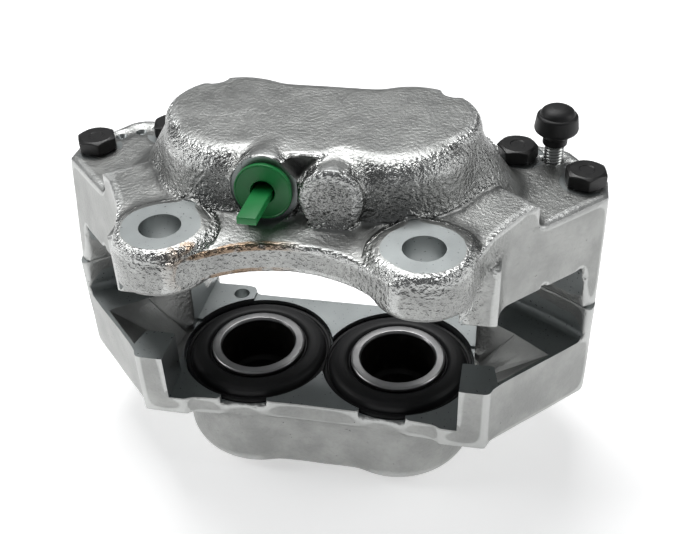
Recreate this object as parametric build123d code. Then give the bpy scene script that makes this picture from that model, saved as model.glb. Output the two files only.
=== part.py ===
from build123d import *
import os

# Fixed four-piston brake caliper. Millimetres.
# Origin: midway between the two mounting holes, on their spot-face plane.
# +Z runs along the pistons towards the knuckle side, +Y away from the axle, +X along the caliper.

# ---- driving dimensions -------------------------------------------------------------------------
MOUNT_SPACING = 88.9        # between the mounting holes
MOUNT_HOLE_R = 7.2
SPOT_FACE_R = 13.6
LUG_R = 17.3
LUG_TOP_Z = 0.5
LUG_BOTTOM_Z = -20.1
LUG_PLATE_Z = -3.0          # lug plate, a step above the bolt plate
LUG_PLATE_BOTTOM_Z = -14.4
ARCH_R = 48.2               # hollow between the lugs
ARCH_Y = -49.2

PISTON_PITCH = 59.2
PISTON_Y = 43.4             # piston axes above the mounting holes
PISTON_R = 20.64            # 1 5/8 inch pistons
PISTON_LENGTH = 28.0
NOSE_R = 19.4
CUP_R = 15.2
CUP_DEPTH = 22.5
BORE_GAP = 0.04             # running clearance, radial
SEAL_R = 23.9
SEAL_WIDTH = 3.2
SEAL_T = 9.0                # seal groove below the piston nose plane
CHAMBER_DEPTH = 1.2

RECESS_R = 31.4             # recess for the boot flange
RECESS_DEPTH = 4.2
BOOT_R = 30.9
BOOT_HALF_GAP = 0.15        # neighbouring boot flanges are flattened where they meet
BOOT_LIP_R = 18.5

SPLIT_Z = -54.7             # joint face between the halves
SLOT_MID_Z = -52.6          # middle of the disc slot
FACE_H = 33.6               # piston nose plane, from the slot's middle
LEDGE_H = 36.4              # pad ledge
TAB_H = 35.2                # pad pin tabs, just proud of the ledge
POST_H = 16.15              # pad posts and shoulders, so the disc slot is 32.3 wide
DISC_CLEAR_R = 167.7        # turned clearance for the disc
DISC_CORNER_R = 3.0
DISC_AXIS_Y = -87.8

PAD_HALF = 57.25            # half the pad width between the posts
POST_OUTER = 69.3
POST_BACK_Y = 23.7
FRONT_Y = 7.9               # front edge of the pad ledge
FRONT_WAIST_Y = 12.3
BACK_Y = 77.8
SIDE_X = 105.0              # half length of the caliper
DIAGONAL = 57.7             # x - y along the diagonal side walls
WALL_DRAFT = 0.207          # how much x - y shrinks per mm up the inboard side walls

PLATE_TOP_Z = -11.9         # bolt plate
REAR_SEAT_Z = -12.6
FLANGE_Z = -97.9            # underside of the outboard flange
BULGE_TOP_Z = 18.5          # top of the inboard cylinder block
BULGE_BOTTOM_Z = -131.5     # bottom of the outboard cylinder block

FRONT_BOLT = (96.4, 67.2)
REAR_BOLT = (70.4, 84.2)
BLEED = (84.3, 83.8)
DIMPLE = (91.2, 78.8)
TRANSFER = (83.0, 70.0)     # fluid transfer port in the joint face
PAD_PIN = (46.1, 75.9)
PAD_PIN_R = 3.45
PIN_SEAT_R = 4.6
PIN_SEAT_Z = -4.0           # spot face for the pin heads behind the cylinder block
BOLT_R = 4.76               # 3/8 inch
BOLT_CLEAR_R = 5.1
BOLT_HEAD_AF = 14.3
BOLT_HEAD_H = 5.9
BOLT_END_Z = -90.0
FRONT_SPOT_R = 9.6          # spot faces under the bolt heads
REAR_SPOT_R = 10.8
DIMPLE_R = 5.0
BLIND_DIMPLE_R = 5.4        # where the other hand of caliper has its bleed screw
DIMPLE_CENTRE = 3.0         # sphere centre above the bolt plate

BLEED_R = 3.75
BLEED_HOLE_R = 3.8
BLEED_SEAT_Z = -27.0        # where the cone of the bleed screw seats
BLEED_TOP_Z = 7.4
CAP_R = 8.2
CAP_TOP_Z = 10.3
CAP_BOTTOM_Z = -5.3

PORT_X = 11.85              # ports either side of the middle: inlet at -x, blank boss at +x
PORT_Z = 7.5
PORT_TILT = 5.0             # degrees that the port axis points up
PORT_BOSS_R = 11.0
PORT_SEAT_Y = 16.6
PORT_SPOT_R = 11.9
PORT_SPOT_LENGTH = 8.0
BLANK_FACE_Y = 10.9
PORT_R = 5.0
PORT_DEPTH = 13.0
PLUG_FLANGE_R = 10.1
PLUG_TAB_LENGTH = 23.0

RING_R = 4.0                # transfer O-ring, centre of its section
RING_SECTION_R = 0.9
PASSAGE_R = 1.6
TURN_Z = {"inboard": -20.0, "outboard": -103.5}     # where the transfer passages turn to the bores
RIB_R = 7.0
RIM_NOTCH = (18.6, 37.0)    # notches in the outboard front rim, from and to
NOTCH_DEPTH = 2.4

INWARDS = (Align.CENTER, Align.CENTER, Align.MAX)
OUTWARDS = (Align.CENTER, Align.CENTER, Align.MIN)
SIDES = {"left": -1, "right": 1}
HALVES = {"inboard": 1, "outboard": -1}


# ---- helpers ------------------------------------------------------------------------------------
def prism(points, z0, z1):
    """Upright prism over a closed outline."""
    return Pos(0, 0, z0) * extrude(make_face(Polyline(*points, close=True)), z1 - z0)


def rounded_prism(points, radii, z0, z1):
    """Upright prism over a closed outline whose corners have their own radii."""
    outline = FilletPolyline(*points, radius=radii, close=True)
    return Pos(0, 0, z0) * extrude(make_face(outline), z1 - z0)


def rod(x, y, r, z0, z1):
    """Upright cylinder between two heights."""
    return Pos(x, y, (z0 + z1) / 2) * Cylinder(r, abs(z1 - z0))


def block(x0, x1, y0, y1, z0, z1):
    """Box between two corners."""
    centre = Pos((x0 + x1) / 2, (y0 + y1) / 2, (z0 + z1) / 2)
    return centre * Box(abs(x1 - x0), abs(y1 - y0), abs(z1 - z0))


def drill(start, end, r):
    """Straight drilling from one point to another."""
    axis = Vector(*end) - Vector(*start)
    place = Plane(origin=start, z_dir=axis)
    return place * Cylinder(r, axis.length, align=(Align.CENTER, Align.CENTER, Align.MIN))


def mirrored(shape):
    return mirror(shape, about=Plane.YZ)


def both(shape):
    """The shape and its mirror image across the middle of the caliper."""
    return shape + mirrored(shape)


def belt(circles):
    """Face inside the tight belt round a set of circles (x, y, r)."""
    return make_hull([edge for x, y, r in circles for edge in (Pos(x, y) * Circle(r)).edges()])


def revolved(profile):
    """Solid of revolution about Z of a closed (radius, height) outline."""
    return revolve(Plane.XZ * make_face(Polyline(*profile, close=True)), Axis.Z)


def lobes(x, y, r, waist, blend):
    """Twin cylinder block outline: circles at +-x joined by a waist, with blended inner corners."""
    outline = Rectangle(2 * x, 2 * waist)
    for side in SIDES.values():
        outline += Pos(side * x, 0) * Circle(r)
    corners = [v for v in outline.vertices() if abs(abs(v.Y) - waist) < 0.01]
    return Pos(0, y) * fillet(corners, blend)


def level(facing, h):
    """Height of a feature that lies h from the slot's middle; facing is 1 inboard, -1 outboard."""
    return SLOT_MID_Z + facing * h


# ---- shapes that both halves share --------------------------------------------------------------
def bridge_end(z0, z1):
    """One bridge end, right side: diagonal front wall, end face and the bolt bosses behind."""
    corner_y = SIDE_X - DIAGONAL
    points = [(50.0, FRONT_Y), (POST_OUTER, FRONT_Y), (POST_OUTER, POST_OUTER - DIAGONAL),
              (SIDE_X, corner_y), (SIDE_X, 75.5), (66.0, 84.0), (50.0, 70.0)]
    wall = rounded_prism(points, [0.5, 2.5, 0.5, 5.0, 6.0, 0.5, 0.5], z0, z1)
    bosses = belt([(*FRONT_BOLT, 8.6), (*BLEED, 9.0), (*REAR_BOLT, 10.6), (70.0, 50.0, 10.0)])
    return wall + Pos(0, 0, z0) * extrude(bosses, z1 - z0)


def pad_window(z0, z1):
    """The space for the pads, open at the front and at the back."""
    edge = [(PAD_HALF, -30), (PAD_HALF, POST_BACK_Y), (61.2, POST_BACK_Y + 2), (61.7, 47.1),
            (58.4, 60.2), (61.3, 72.0), (61.3, 110)]
    return prism(edge + [(-x, y) for x, y in reversed(edge)], z0, z1)


def side_pocket(facing):
    """Cast hollow between a pad post and the shoulder, right side. Outboard it reaches the wall's edge."""
    wall_end = [(71.2, 14.6), (89.4, 33.2)] if facing < 0 else [(70.0, POST_BACK_Y + 1.0), (86.0, 34.6)]
    rim = [(56.0, POST_BACK_Y), (69.6, POST_BACK_Y), *wall_end, (76.0, 43.8), (56.0, 56.0)]
    foot = [(56.0, POST_BACK_Y), (60.0, POST_BACK_Y), (61.0, 24.6), (64.0, 38.5), (62.6, 47.0), (56.0, 56.0)]
    top = Pos(0, 0, level(facing, POST_H - 0.3)) * make_face(Polyline(*rim, close=True))
    bottom = Pos(0, 0, level(facing, LEDGE_H)) * make_face(Polyline(*foot, close=True))
    return loft([top, bottom], ruled=True)


def cylinder_cut(facing, side):
    """One bore with its seal groove, boot recess and pressure chamber."""
    nose = level(facing, FACE_H)

    def tool(r, t0, t1):
        return rod(side * PISTON_PITCH / 2, PISTON_Y, r, nose + facing * t0, nose + facing * t1)

    ledge = LEDGE_H - FACE_H
    bore = tool(PISTON_R + BORE_GAP, -8, PISTON_LENGTH)
    recess = tool(RECESS_R, -8, ledge + RECESS_DEPTH)
    groove = tool(SEAL_R, SEAL_T, SEAL_T + SEAL_WIDTH)
    chamber = tool(CUP_R, PISTON_LENGTH - 1, PISTON_LENGTH + CHAMBER_DEPTH)
    return bore + recess + groove + chamber


def pin_tab(facing):
    """Raised tab behind a piston that holds a pad pin, right side."""
    points = [(39.8, 56.0), (64.0, 56.0), (64.0, 81.9), (39.8, 81.9)]
    root = LUG_PLATE_Z if facing > 0 else FLANGE_Z
    z = sorted((level(facing, TAB_H), root))
    return rounded_prism(points, [0.5, 0.5, 0.5, 3.5], *z)


def cut_interior(body, facing):
    """Pad window, disc clearance, side pockets, pin tabs and bores of one half."""
    body -= pad_window(level(facing, -12), level(facing, LEDGE_H))
    disc = rod(0, DISC_AXIS_Y, DISC_CLEAR_R, level(facing, -12), level(facing, POST_H))
    body -= fillet(disc.edges().group_by(Axis.Z)[-1 if facing > 0 else 0], DISC_CORNER_R)
    body -= both(side_pocket(facing))
    body += both(pin_tab(facing))
    for side in SIDES.values():
        body -= cylinder_cut(facing, side)
    return body


def chamber_point(facing):
    """Where passages break into the pressure chamber of a right-hand bore."""
    return (45.5, 50.0, level(facing, FACE_H + PISTON_LENGTH + 0.2))


# ---- outboard half ------------------------------------------------------------------------------
def outboard_housing():
    body = both(bridge_end(FLANGE_Z, SPLIT_Z))
    reach = POST_OUTER - 10
    front = ThreePointArc((-reach, FRONT_Y), (0, FRONT_WAIST_Y), (reach, FRONT_Y))
    rest = Polyline((reach, FRONT_Y), (reach, BACK_Y), (-reach, BACK_Y), (-reach, FRONT_Y))
    web = make_face(Wire([*front.edges(), *rest.edges()]))
    body += Pos(0, 0, FLANGE_Z) * extrude(web, level(-1, LEDGE_H - 8) - FLANGE_Z)

    outline = lobes(PISTON_PITCH / 2, PISTON_Y, 31.6, 28.9, 16)
    bulge = Pos(0, 0, BULGE_BOTTOM_Z) * extrude(outline, FLANGE_Z + 4 - BULGE_BOTTOM_Z)
    body += fillet(bulge.edges().group_by(Axis.Z)[0], 12)
    body += both(passage_rib())

    body = cut_interior(body, -1)
    ledge_z = level(-1, LEDGE_H)
    for side in SIDES.values():
        x0, x1 = RIM_NOTCH
        body -= block(side * x0, side * x1, 5, 16, ledge_z - NOTCH_DEPTH, ledge_z + 12)
        body -= rod(side * PAD_PIN[0], PAD_PIN[1], PAD_PIN_R, FLANGE_Z - 1, SPLIT_Z)
        for x, y in (FRONT_BOLT, REAR_BOLT):
            body -= rod(side * x, y, BOLT_R, BOLT_END_Z - 2, SPLIT_Z + 1)
    x, y = TRANSFER
    turn_z = TURN_Z["outboard"]
    x1, y1, z1 = chamber_point(-1)
    passages = drill((x, y, SPLIT_Z + 1), (x, y, turn_z), PASSAGE_R)
    passages += drill((x, y, turn_z + 1), (x1, y1, z1), PASSAGE_R)
    return body - both(passages)


def passage_rib():
    """Cast rib under the flange that carries the fluid passage to the cylinder block, right side."""
    return drill((86.0, 71.0, -100.0), (40.0, 50.0, -112.0), RIB_R)


# ---- inboard half -------------------------------------------------------------------------------
def lug_plate():
    """The plate that carries the mounting lugs, with the hollow between them."""
    edge = [(44.45, -LUG_R), (61.0, -4.0), (63.0, 5.0), (66.5, 14.9), (71.6, 23.7), (76.0, 30.6),
            (81.0, 35.5), (64.0, 47.0), (60.0, BACK_Y)]
    plate = prism(edge + [(-x, y) for x, y in reversed(edge)], LUG_PLATE_BOTTOM_Z, LUG_PLATE_Z)
    for side in SIDES.values():
        plate += rod(side * MOUNT_SPACING / 2, 0, LUG_R, LUG_BOTTOM_Z, LUG_TOP_Z)
    return plate - rod(0, ARCH_Y, ARCH_R, LUG_BOTTOM_Z - 1, LUG_TOP_Z + 1)


def side_draft():
    """What the sloping draft takes off an inboard side wall, right side."""
    low = (DIAGONAL - 2.4) / 2 ** 0.5
    high = low - WALL_DRAFT * (LUG_TOP_Z - SPLIT_Z) / 2 ** 0.5
    points = [(low, SPLIT_Z - 1), (90, SPLIT_Z - 1), (90, LUG_TOP_Z), (high, LUG_TOP_Z)]
    outline = Polyline(*points, close=True)
    across = Plane(origin=(0, 0, 0), x_dir=(1, -1, 0), z_dir=(-1, -1, 0))
    return extrude(across * make_face(outline), 150, both=True)


def port_axis(side, y):
    """Plane square to a port axis, at depth y, looking out of the port."""
    level_plane = Plane(origin=(side * PORT_X, y, PORT_Z), x_dir=(1, 0, 0), z_dir=(0, -1, 0))
    return level_plane.rotated((-PORT_TILT, 0, 0))


def cylinder_block():
    """Twin-lobe block with rounded rim, ridges to the bolt plate and the two port bosses."""
    outline = lobes(26.6, 47.3, 33.4, 30.6, 16)
    base_z = level(1, LEDGE_H)
    bulge = Pos(0, 0, base_z) * extrude(outline, BULGE_TOP_Z - base_z, taper=7)
    bulge = fillet(bulge.edges().group_by(Axis.Z)[-1], 10)
    top = lobes(32.5, 54.5, 29.3, 25.3, 12)
    deck = Pos(0, 0, PLATE_TOP_Z) * extrude(top, BULGE_TOP_Z - PLATE_TOP_Z, taper=8)
    deck = fillet(deck.edges().group_by(Axis.Z)[-1], 4)
    foot = Pos(0, 0, PLATE_TOP_Z - 1) * belt([(26.6, 47.3, 32.5), (53.0, 58.5, 21.0)])
    crest = Pos(0, 0, BULGE_TOP_Z - 4) * belt([(26.6, 47.3, 27.5), (40.0, 52.5, 16.5)])
    ridge = loft([foot, crest], ruled=True)
    shelf = prism([(-19, 36), (-6.5, 21.7), (6.5, 21.7), (19, 36)], -2, BULGE_TOP_Z)
    blank = port_axis(1, BLANK_FACE_Y) * Cylinder(PORT_BOSS_R, 26, align=INWARDS)
    inlet = port_axis(-1, PORT_SEAT_Y) * Cylinder(PORT_BOSS_R, 20, align=INWARDS)
    return bulge + deck + both(ridge) + shelf + blank + inlet


def inboard_housing():
    body = both(bridge_end(SPLIT_Z, PLATE_TOP_Z) - side_draft())
    body += lug_plate()
    post = block(PAD_HALF - 2, POST_OUTER, FRONT_Y, POST_BACK_Y + 2, level(1, POST_H), PLATE_TOP_Z)
    body += both(post)
    body += cylinder_block()
    body = cut_interior(body, 1)

    for side in SIDES.values():
        lug_x = side * MOUNT_SPACING / 2
        body -= rod(lug_x, 0, MOUNT_HOLE_R, LUG_BOTTOM_Z - 1, 5)
        body -= rod(lug_x, 0, SPOT_FACE_R, 0, 5)
        body -= rod(side * PAD_PIN[0], PAD_PIN[1], PAD_PIN_R, SPLIT_Z, PIN_SEAT_Z + 1)
        body -= rod(side * PAD_PIN[0], PAD_PIN[1], PIN_SEAT_R, PIN_SEAT_Z, BULGE_TOP_Z + 1)
        seats = ((FRONT_BOLT, PLATE_TOP_Z, FRONT_SPOT_R), (REAR_BOLT, REAR_SEAT_Z, REAR_SPOT_R))
        for (x, y), seat_z, spot_r in seats:
            body -= rod(side * x, y, BOLT_CLEAR_R, SPLIT_Z - 1, seat_z + 1)
            body -= rod(side * x, y, spot_r, seat_z, BULGE_TOP_Z)
        body -= Pos(side * DIMPLE[0], DIMPLE[1], PLATE_TOP_Z + DIMPLE_CENTRE) * Sphere(DIMPLE_R)

    x, y = BLEED
    body -= Pos(-x, y, PLATE_TOP_Z + DIMPLE_CENTRE) * Sphere(BLIND_DIMPLE_R)
    body -= rod(x, y, BLEED_HOLE_R, BLEED_SEAT_Z, PLATE_TOP_Z + 1)
    body -= Pos(x, y, BLEED_SEAT_Z - 1.1) * Cone(PASSAGE_R, BLEED_HOLE_R, 2.2)
    x1, y1, z1 = chamber_point(1)
    body -= drill((x, y, BLEED_SEAT_Z - 2.0), (x1, y1, z1), PASSAGE_R)

    x, y = TRANSFER
    turn_z = TURN_Z["inboard"]
    passages = drill((x, y, SPLIT_Z - 1), (x, y, turn_z), PASSAGE_R)
    passages += drill((x, y, turn_z - 1), (x1, y1 - 5, z1), PASSAGE_R)
    groove_z = SPLIT_Z + 2 * RING_SECTION_R
    groove = rod(x, y, RING_R + RING_SECTION_R, SPLIT_Z - 1, groove_z)
    groove -= rod(x, y, RING_R - RING_SECTION_R, SPLIT_Z - 2, groove_z + 1)
    body -= both(passages + groove)
    half_pitch = PISTON_PITCH / 2
    chamber_z = level(1, FACE_H + PISTON_LENGTH)
    link_z = chamber_z - 2
    body -= drill((-half_pitch, PISTON_Y, link_z), (half_pitch, PISTON_Y, link_z), PASSAGE_R)

    seat = port_axis(-1, PORT_SEAT_Y)
    body -= seat * Cylinder(PORT_R, PORT_DEPTH, align=INWARDS)
    body -= seat * Cylinder(PORT_SPOT_R, PORT_SPOT_LENGTH, align=OUTWARDS)
    port_end = port_axis(-1, PORT_SEAT_Y + PORT_DEPTH - 1).origin
    body -= drill(tuple(port_end), (6 - half_pitch, PISTON_Y - 4, chamber_z + 0.3), PASSAGE_R)
    return body


# ---- pieces in the bores ------------------------------------------------------------------------
def in_bore(facing, side, profile):
    """Turn a (radius, depth below the nose plane) outline and put it in a bore."""
    nose = level(facing, FACE_H)
    ring = revolved([(r, facing * t) for r, t in profile])
    return Pos(side * PISTON_PITCH / 2, PISTON_Y, nose) * ring


def piston(facing, side):
    """Cup piston with a groove behind its nose ring for the boot lip."""
    lip_seat = BOOT_LIP_R - 0.1
    profile = [(0, CUP_DEPTH), (CUP_R - 2, CUP_DEPTH), (CUP_R, CUP_DEPTH - 2), (CUP_R, 0.8),
               (CUP_R + 0.8, 0), (NOSE_R - 0.6, 0), (NOSE_R, 0.6), (NOSE_R, 2.0), (lip_seat, 2.6),
               (lip_seat, 5.0), (NOSE_R, 5.6), (NOSE_R, 6.4), (PISTON_R, 7.4),
               (PISTON_R, PISTON_LENGTH - 1), (PISTON_R - 1, PISTON_LENGTH), (0, PISTON_LENGTH)]
    return in_bore(facing, side, profile)


def piston_seal(facing, side):
    """Square-section pressure seal."""
    inner = PISTON_R + 0.02
    top = SEAL_T + 0.1
    bottom = SEAL_T + SEAL_WIDTH
    profile = [(inner, top), (SEAL_R, top), (SEAL_R, bottom), (inner, bottom)]
    return in_bore(facing, side, profile)


def dust_boot(facing, side):
    """Rubber boot: a flange in the recess and a domed fold up to the piston groove."""
    floor = LEDGE_H - FACE_H + RECESS_DEPTH
    profile = [(BOOT_LIP_R, 3.0), (NOSE_R + 0.2, 2.2), (20.6, 1.5), (22.5, 1.0), (26.0, 1.3),
               (27.6, 2.6), (27.9, 4.2), (BOOT_R, 4.4), (BOOT_R, floor), (22.6, floor), (22.6, 5.6),
               (25.4, 4.6), (25.2, 3.2), (22.6, 2.8), (20.6, 4.2), (BOOT_LIP_R, 4.6)]
    boot = in_bore(facing, side, profile)
    low, high = sorted((side * BOOT_HALF_GAP, -side * BOOT_R))
    return boot - block(low, high, 0, BACK_Y, BULGE_BOTTOM_Z, BULGE_TOP_Z)


# ---- fasteners and fittings ---------------------------------------------------------------------
def bridge_bolt(x, y, seat_z):
    """Hex bolt with chamfered head and washer face."""
    hexagon = RegularPolygon(BOLT_HEAD_AF / 2, 6, major_radius=False)
    head = Pos(x, y, seat_z + 0.5) * extrude(hexagon, BOLT_HEAD_H - 0.5)
    dome = Pos(x, y, seat_z + BOLT_HEAD_H - 5) * Cone(BOLT_HEAD_AF / 2 + 7.2, BOLT_HEAD_AF / 2 - 0.6, 10)
    face = rod(x, y, BOLT_HEAD_AF / 2 - 0.3, seat_z, seat_z + 0.5)
    shank = rod(x, y, BOLT_R, BOLT_END_Z, seat_z)
    return (head & dome) + face + chamfer(shank.edges().group_by(Axis.Z)[0], 0.8)


def bleed_screw():
    """Hollow bleed screw: cone seat, thread, flats for a spanner and a hose nipple."""
    x, y = BLEED
    flats_z = BLEED_TOP_Z - 10.2
    body = rod(x, y, BLEED_R, BLEED_SEAT_Z, flats_z)
    body += Pos(x, y, BLEED_SEAT_Z - 1) * Cone(PASSAGE_R + 0.2, BLEED_R, 2)
    body += Pos(x, y, flats_z) * extrude(RegularPolygon(3.2, 6, major_radius=False), 4.4)
    nipple = [(0, 4.4), (2.2, 4.4), (2.2, 5.8), (3.0, 6.4), (2.4, 8.0), (2.4, 10.2), (0, 10.2)]
    body += Pos(x, y, flats_z) * revolved(nipple)
    hollow = rod(x, y, 0.9, BLEED_SEAT_Z + 3, BLEED_TOP_Z + 1)
    return body - hollow - drill((x - 5, y, BLEED_SEAT_Z + 3.5), (x + 5, y, BLEED_SEAT_Z + 3.5), 0.8)


def bleed_screw_cap():
    """Rubber dust cap that pushes over the nipple."""
    x, y = BLEED
    hole = BLEED_R + 0.05
    profile = [(0, CAP_TOP_Z), (4.2, CAP_TOP_Z - 0.4), (6.3, CAP_TOP_Z - 1.6), (6.9, CAP_TOP_Z - 2.9),
               (7.6, CAP_TOP_Z - 3.6), (CAP_R, CAP_TOP_Z - 8.6), (CAP_R - 0.3, CAP_TOP_Z - 9.4),
               (4.9, CAP_TOP_Z - 12.4), (4.4, CAP_TOP_Z - 12.8), (4.4, CAP_BOTTOM_Z), (hole, CAP_BOTTOM_Z),
               (hole, BLEED_TOP_Z + 0.4), (0, BLEED_TOP_Z + 0.4)]
    return Pos(x, y, 0) * revolved(profile)


def inlet_port_plug():
    """Push-in plug: hollow stem in the port, flange on the seat and a flat pull tab."""
    seat = port_axis(-1, PORT_SEAT_Y)
    plug = seat * Cylinder(PORT_R - 0.05, 9, align=INWARDS)
    plug += seat * Pos(0, 0, 0.1) * Cylinder(PLUG_FLANGE_R - 0.9, 1.2, align=OUTWARDS)
    plug += seat * Pos(0, 0, 1.2) * Cylinder(PLUG_FLANGE_R, 2.0, align=OUTWARDS)
    plug += seat * Cylinder(5.6, 0.4, align=OUTWARDS)
    plug -= seat * Pos(0, 0, 3.3) * Cylinder(4.4, 9.5, align=INWARDS)
    tab = Box(6.6, 3.2, PLUG_TAB_LENGTH + 7, align=OUTWARDS)
    return plug + seat * Pos(0, -0.4, -7) * tab


def transfer_seal(side):
    """O-ring round the fluid transfer port, between the halves."""
    x, y = TRANSFER
    return Pos(side * x, y, SPLIT_Z + RING_SECTION_R) * Torus(RING_R, RING_SECTION_R)


# ---- write the parts ----------------------------------------------------------------------------
def main():
    os.makedirs("parts", exist_ok=True)
    nodes = {"inboard_housing": inboard_housing(), "outboard_housing": outboard_housing()}
    for half, facing in HALVES.items():
        for name, side in SIDES.items():
            nodes[f"piston_{half}_{name}"] = piston(facing, side)
            nodes[f"piston_seal_{half}_{name}"] = piston_seal(facing, side)
            nodes[f"dust_boot_{half}_{name}"] = dust_boot(facing, side)
    for name, side in SIDES.items():
        nodes[f"bridge_bolt_front_{name}"] = bridge_bolt(side * FRONT_BOLT[0], FRONT_BOLT[1], PLATE_TOP_Z)
        nodes[f"bridge_bolt_rear_{name}"] = bridge_bolt(side * REAR_BOLT[0], REAR_BOLT[1], REAR_SEAT_Z)
        nodes[f"transfer_seal_{name}"] = transfer_seal(side)
    nodes["bleed_screw"] = bleed_screw()
    nodes["bleed_screw_cap"] = bleed_screw_cap()
    nodes["inlet_port_plug"] = inlet_port_plug()
    for name, shape in nodes.items():
        export_step(shape, f"parts/{name}.step")


main()
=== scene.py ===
import bmesh
import bpy
import math
from mathutils import Matrix, Vector


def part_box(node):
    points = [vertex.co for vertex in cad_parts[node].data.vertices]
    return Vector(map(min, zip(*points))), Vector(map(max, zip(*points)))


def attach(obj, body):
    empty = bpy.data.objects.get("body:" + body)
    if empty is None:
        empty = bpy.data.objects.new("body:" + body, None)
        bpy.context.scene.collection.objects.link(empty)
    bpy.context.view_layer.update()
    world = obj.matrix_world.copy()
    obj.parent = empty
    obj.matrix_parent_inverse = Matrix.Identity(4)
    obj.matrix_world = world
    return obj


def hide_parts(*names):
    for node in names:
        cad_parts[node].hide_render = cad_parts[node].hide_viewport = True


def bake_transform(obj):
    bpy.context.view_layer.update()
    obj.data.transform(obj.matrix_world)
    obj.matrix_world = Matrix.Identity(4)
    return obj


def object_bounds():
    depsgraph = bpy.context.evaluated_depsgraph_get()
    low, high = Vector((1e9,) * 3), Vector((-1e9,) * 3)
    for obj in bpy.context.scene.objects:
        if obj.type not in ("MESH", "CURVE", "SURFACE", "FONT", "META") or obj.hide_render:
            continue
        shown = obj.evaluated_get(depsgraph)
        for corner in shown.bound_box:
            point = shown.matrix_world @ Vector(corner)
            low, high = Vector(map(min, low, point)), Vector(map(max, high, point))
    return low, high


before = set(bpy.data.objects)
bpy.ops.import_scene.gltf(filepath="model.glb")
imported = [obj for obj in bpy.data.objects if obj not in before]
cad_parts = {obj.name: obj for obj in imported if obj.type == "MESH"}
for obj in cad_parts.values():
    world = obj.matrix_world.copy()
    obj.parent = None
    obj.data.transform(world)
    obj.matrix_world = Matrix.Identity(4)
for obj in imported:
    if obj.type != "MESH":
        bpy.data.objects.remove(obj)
cad_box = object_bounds()

# ---- The two cast halves ------------------------------------------------------------------------
# Each half is a sand casting in ductile iron, zinc plated, with its working faces machined afterwards.
# It is made the same way here: the CAD solid gets stock on every machined face, the skin is rounded
# and grained as a casting, and the machined faces are then cut flat with sharp edges.
MM = 0.001
PLATED_ZINC = (0.40, 0.405, 0.395)
DULL_ZINC = (0.29, 0.295, 0.288)
GRAIN_SHADE_ZINC = (0.13, 0.132, 0.128)
PASSIVATE = (0.26, 0.17, 0.10)
EDGE_HIGHLIGHT_ZINC = (0.62, 0.63, 0.62)
CUT_IRON = (0.30, 0.32, 0.32)
CUT_BRIGHT = (0.39, 0.415, 0.415)
STAIN_SPOT = (-0.018, -0.008, -0.003)
VOXEL = 1.05
STOCK = 1.4
OVERSHOOT = 110
SLOT_MID = -52.6
JOINT_Z = -54.7
LEDGE = 36.4
TAB = 35.2
SHOULDER = 16.15
NOSE = 33.6
DISC_Y = -87.8
DISC_R = 167.7
DISC_CORNER = 3.0
PAD_HALF = 57.25
SIDE_RELIEF = 60.4
PISTON_BORE_R = 20.68
BORE_END = 62.4
RECESS_R = 31.4
RECESS_DEEP = 4.2
PLATE_Z = -11.9
DIMPLE_DEEP = 2.4
PIN_R = 3.45
PIN_SEAT_R = 4.6
LUG_X = 88.9 / 2
LUG_HOLE_R = 7.2
LUG_SPOT_R = 17.0
PORT = Vector((-11.85, 16.6, 7.5))
PORT_TILT = 5
PORT_AXIS = Vector((0, -math.cos(math.radians(PORT_TILT)), math.sin(math.radians(PORT_TILT))))
PORT_SEAT_R = 11.9
PORT_R = 5.0
HALVES = {"inboard": 1, "outboard": -1}
POCKET_ENDS = {"inboard": [(70.0, 24.7), (86.0, 34.6)], "outboard": [(71.2, 14.8), (89.4, 33.4)]}


def middle(node):
    """Centre of a CAD node's box, in millimetres."""
    low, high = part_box(node)
    return (low + high) / 2 / MM


def level(facing, height):
    """Height of a feature that lies a given way from the middle of the disc slot."""
    return SLOT_MID + facing * height


def add_rod(bm, start, end, radius, end_radius=None, segments=96):
    """Closed round bar between two points, or a cone where the end radius differs."""
    start, end = Vector(start), Vector(end)
    along = end - start
    place = Matrix.Translation((start + end) / 2) @ along.to_track_quat("Z", "Y").to_matrix().to_4x4()
    tip = radius if end_radius is None else end_radius
    bmesh.ops.create_cone(bm, cap_ends=True, segments=segments, radius1=radius, radius2=tip,
                          depth=along.length, matrix=place)


def add_slab(bm, outline, z0, z1):
    """Closed upright prism over an outline."""
    low, high = sorted((z0, z1))
    bottom = [bm.verts.new((x, y, low)) for x, y in outline]
    top = [bm.verts.new((x, y, high)) for x, y in outline]
    bm.faces.new(bottom[::-1])
    bm.faces.new(top)
    for i in range(len(outline)):
        j = (i + 1) % len(outline)
        bm.faces.new((bottom[i], bottom[j], top[j], top[i]))


def add_disc(bm, floor, top):
    """The turning tool's sweep round the disc, with a rounded corner at its floor."""
    add_rod(bm, (0, DISC_Y, floor), (0, DISC_Y, top), DISC_R, segments=720)
    rim = [e for e in bm.edges if all(abs(v.co.z - floor) < 1e-3 for v in e.verts)]
    bmesh.ops.bevel(bm, geom=rim, offset=DISC_CORNER, segments=8, profile=0.5, affect="EDGES")


def add_core(bm, outline, y0, y1):
    """The sand core between the port bosses, from an (x, z) outline."""
    add_slab(bm, outline, -y1, -y0)
    bmesh.ops.rotate(bm, matrix=Matrix.Rotation(math.radians(90), 3, "X"), verts=bm.verts)


def add_loft(bm, lower, upper, z0, z1):
    """Closed solid between two outlines with the same number of corners."""
    bottom = [bm.verts.new((x, y, z0)) for x, y in lower]
    top = [bm.verts.new((x, y, z1)) for x, y in upper]
    bm.faces.new(bottom[::-1])
    bm.faces.new(top)
    for i in range(len(lower)):
        j = (i + 1) % len(lower)
        bm.faces.new((bottom[i], bottom[j], top[j], top[i]))
    bmesh.ops.triangulate(bm, faces=bm.faces)


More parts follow.
